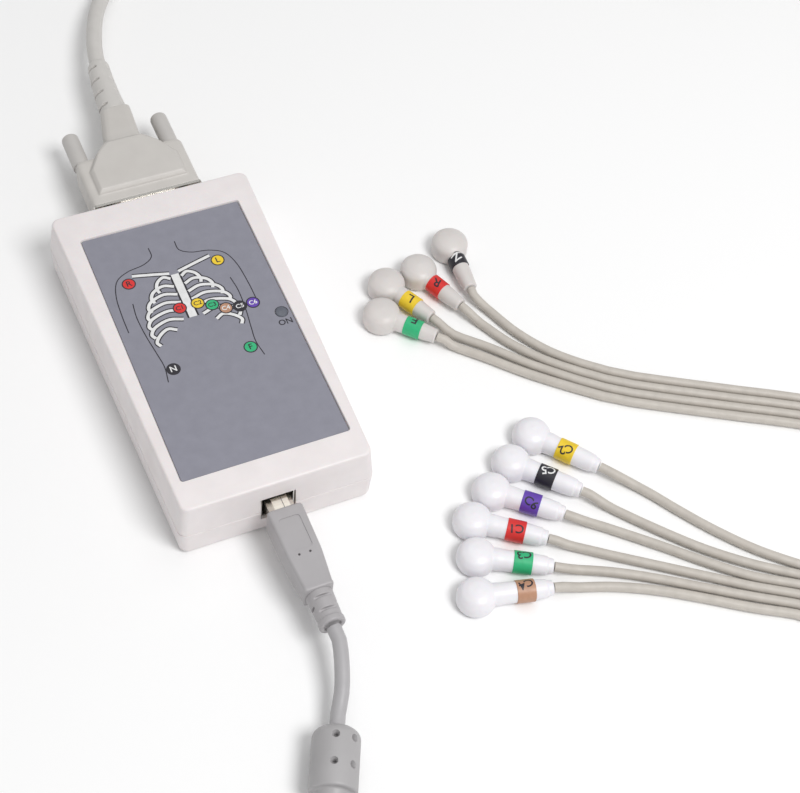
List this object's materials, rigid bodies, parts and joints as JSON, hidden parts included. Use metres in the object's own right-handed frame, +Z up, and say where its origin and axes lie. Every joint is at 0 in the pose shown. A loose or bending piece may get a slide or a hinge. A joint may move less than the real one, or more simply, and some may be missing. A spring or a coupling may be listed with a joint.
{
  "type": "ecg module",
  "caption": "Flat electrocardiogram module for a computer, with its electrode leads plugged in at the back and its USB cable at the front.",
  "frame": {"origin": "on the table, under the middle of the box with its two sockets, the cables left out", "axes": "+Y towards the back wall with the patient socket, -Y towards the USB socket, +X to the side where the electrode leads lie, +Z up"},
  "size_m": [0.3429, 0.4815, 0.0247],
  "materials": {
    "white_abs": "satin, fine grain",
    "zinc_steel": "zinc plated",
    "label_grey": "printed film, matte",
    "light_window": "tinted, satin",
    "board_green": "solder mask",
    "chip_black": "moulded",
    "crystal_metal": "plain",
    "socket_metal": "nickel plated",
    "socket_tongue": "moulded",
    "plug_metal": "nickel plated",
    "usb_grip_grey": "soft moulded",
    "usb_cable_grey": "soft sheath",
    "ferrite_grey": "soft moulded over a ferrite core",
    "computer_plug_metal": "nickel plated",
    "tie_black": "moulded",
    "patient_socket_metal": "nickel plated",
    "patient_socket_insulator": "moulded",
    "lock_steel": "nickel plated",
    "patient_plug_metal": "nickel plated",
    "patient_plug_insulator": "moulded",
    "hood_beige": "moulded, satin",
    "thumb_grey": "moulded, satin",
    "trunk_beige": "soft sheath",
    "yoke_beige": "soft moulded",
    "lead_taupe": "soft sheath",
    "snap_grey": "moulded, satin",
    "snap_white": "moulded, satin"
  },
  "bodies": {
    "module": {"top_cover": "white_abs", "bottom_cover": "white_abs", "front_label": "label_grey", "power_light": "light_window", "case_screw_1": "zinc_steel", "case_screw_2": "zinc_steel", "case_screw_3": "zinc_steel", "case_screw_4": "zinc_steel", "circuit_board": "board_green", "processor": "chip_black", "isolating_converter": "chip_black", "crystal": "crystal_metal", "usb_socket_shell": "socket_metal", "usb_socket_tongue": "socket_tongue", "patient_socket_shell": "patient_socket_metal", "patient_socket_insulator": "patient_socket_insulator", "screw_lock_left": "lock_steel", "screw_lock_right": "lock_steel"},
    "patient_cable": {"patient_plug_shell": "patient_plug_metal", "patient_plug_insulator": "patient_plug_insulator", "patient_plug_hood": "hood_beige", "trunk_strain_relief": "trunk_beige", "trunk_cable_start": "trunk_beige", "trunk_cable_coil": "trunk_beige", "trunk_cable_tie": "tie_black", "trunk_cable_end": "trunk_beige", "yoke": "yoke_beige", "lead_n": "lead_taupe", "lead_r": "lead_taupe", "lead_l": "lead_taupe", "lead_f": "lead_taupe", "lead_c1": "lead_taupe", "lead_c2": "lead_taupe", "lead_c3": "lead_taupe", "lead_c4": "lead_taupe", "lead_c5": "lead_taupe", "lead_c6": "lead_taupe", "snap_n": "snap_grey", "snap_r": "snap_grey", "snap_l": "snap_grey", "snap_f": "snap_grey", "snap_c1": "snap_white", "snap_c2": "snap_white", "snap_c3": "snap_white", "snap_c4": "snap_white", "snap_c5": "snap_white", "snap_c6": "snap_white"},
    "thumbscrew_left": {"thumbscrew_left": "thumb_grey"},
    "thumbscrew_right": {"thumbscrew_right": "thumb_grey"},
    "usb_cable": {"usb_plug_shell": "plug_metal", "usb_plug_grip": "usb_grip_grey", "usb_strain_relief": "usb_grip_grey", "usb_cable_front": "usb_cable_grey", "ferrite": "ferrite_grey", "usb_cable_middle": "usb_cable_grey", "usb_cable_coil": "usb_cable_grey", "usb_cable_tie": "tie_black", "computer_plug_grip": "usb_grip_grey", "computer_plug_shell": "computer_plug_metal"}
  },
  "joints": [
    {"name": "patient_plug_slide", "type": "slide", "parent": "module", "child": "patient_cable", "axis": [0, 1, 0], "range_m": [0, 0.012]},
    {"name": "thumbscrew_left_turn", "type": "hinge", "parent": "patient_cable", "child": "thumbscrew_left", "pos_m": [-0.01516, 0.0889, 0.013], "axis": [0, 1, 0], "continuous": true},
    {"name": "thumbscrew_right_turn", "type": "hinge", "parent": "patient_cable", "child": "thumbscrew_right", "pos_m": [0.01816, 0.0889, 0.013], "axis": [0, 1, 0], "continuous": true},
    {"name": "usb_plug_slide", "type": "slide", "parent": "module", "child": "usb_cable", "axis": [0, -1, 0], "range_m": [0, 0.014]}
  ]
}
